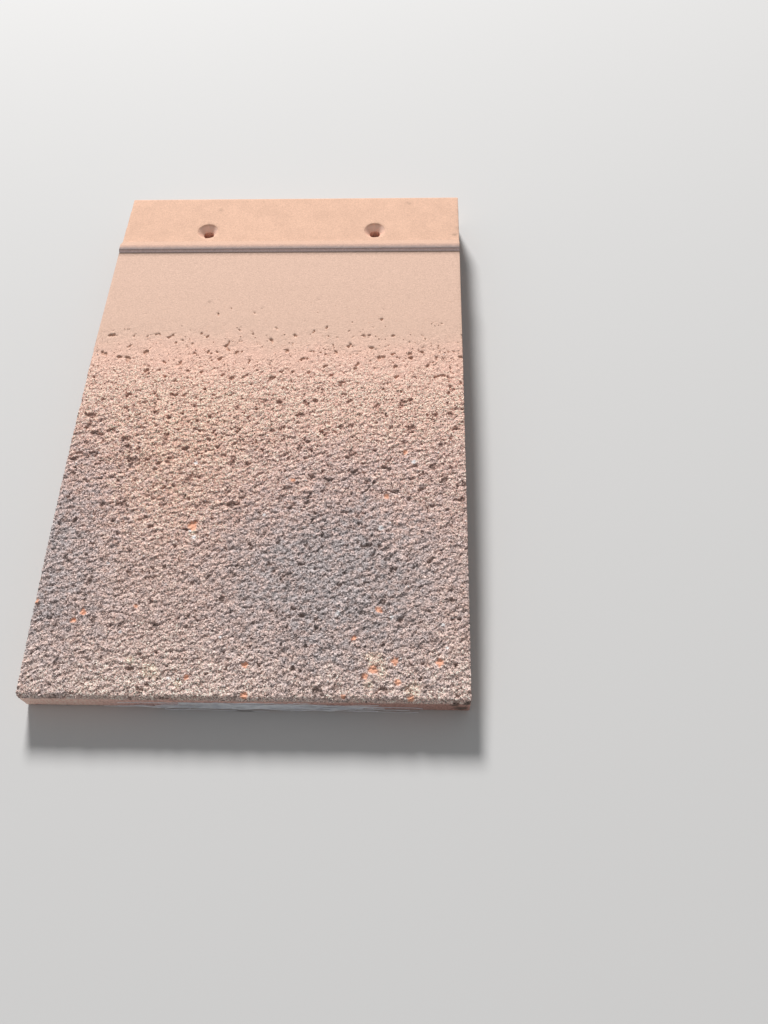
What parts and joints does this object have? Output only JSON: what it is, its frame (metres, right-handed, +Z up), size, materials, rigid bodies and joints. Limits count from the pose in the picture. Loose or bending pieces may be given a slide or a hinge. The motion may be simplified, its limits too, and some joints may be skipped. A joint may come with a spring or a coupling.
{
  "type": "clay roof tile",
  "caption": "Flat cambered clay roof tile with a full-width nib, a ledge below a smooth head band, countersunk blind nail holes and a sanded face.",
  "frame": {"origin": "middle of the bounding box, on the ground that the tile lies on", "axes": "+X across the tile, +Y from the tail to the head, +Z up out of the face"},
  "size_m": [0.17, 0.2704, 0.0228],
  "materials": {
    "fired_clay": "matte, sanded and smoke-darkened towards the tail, bare terracotta at the head and underneath"
  },
  "bodies": {
    "root": {"roof_tile": "fired_clay"}
  },
  "joints": []
}
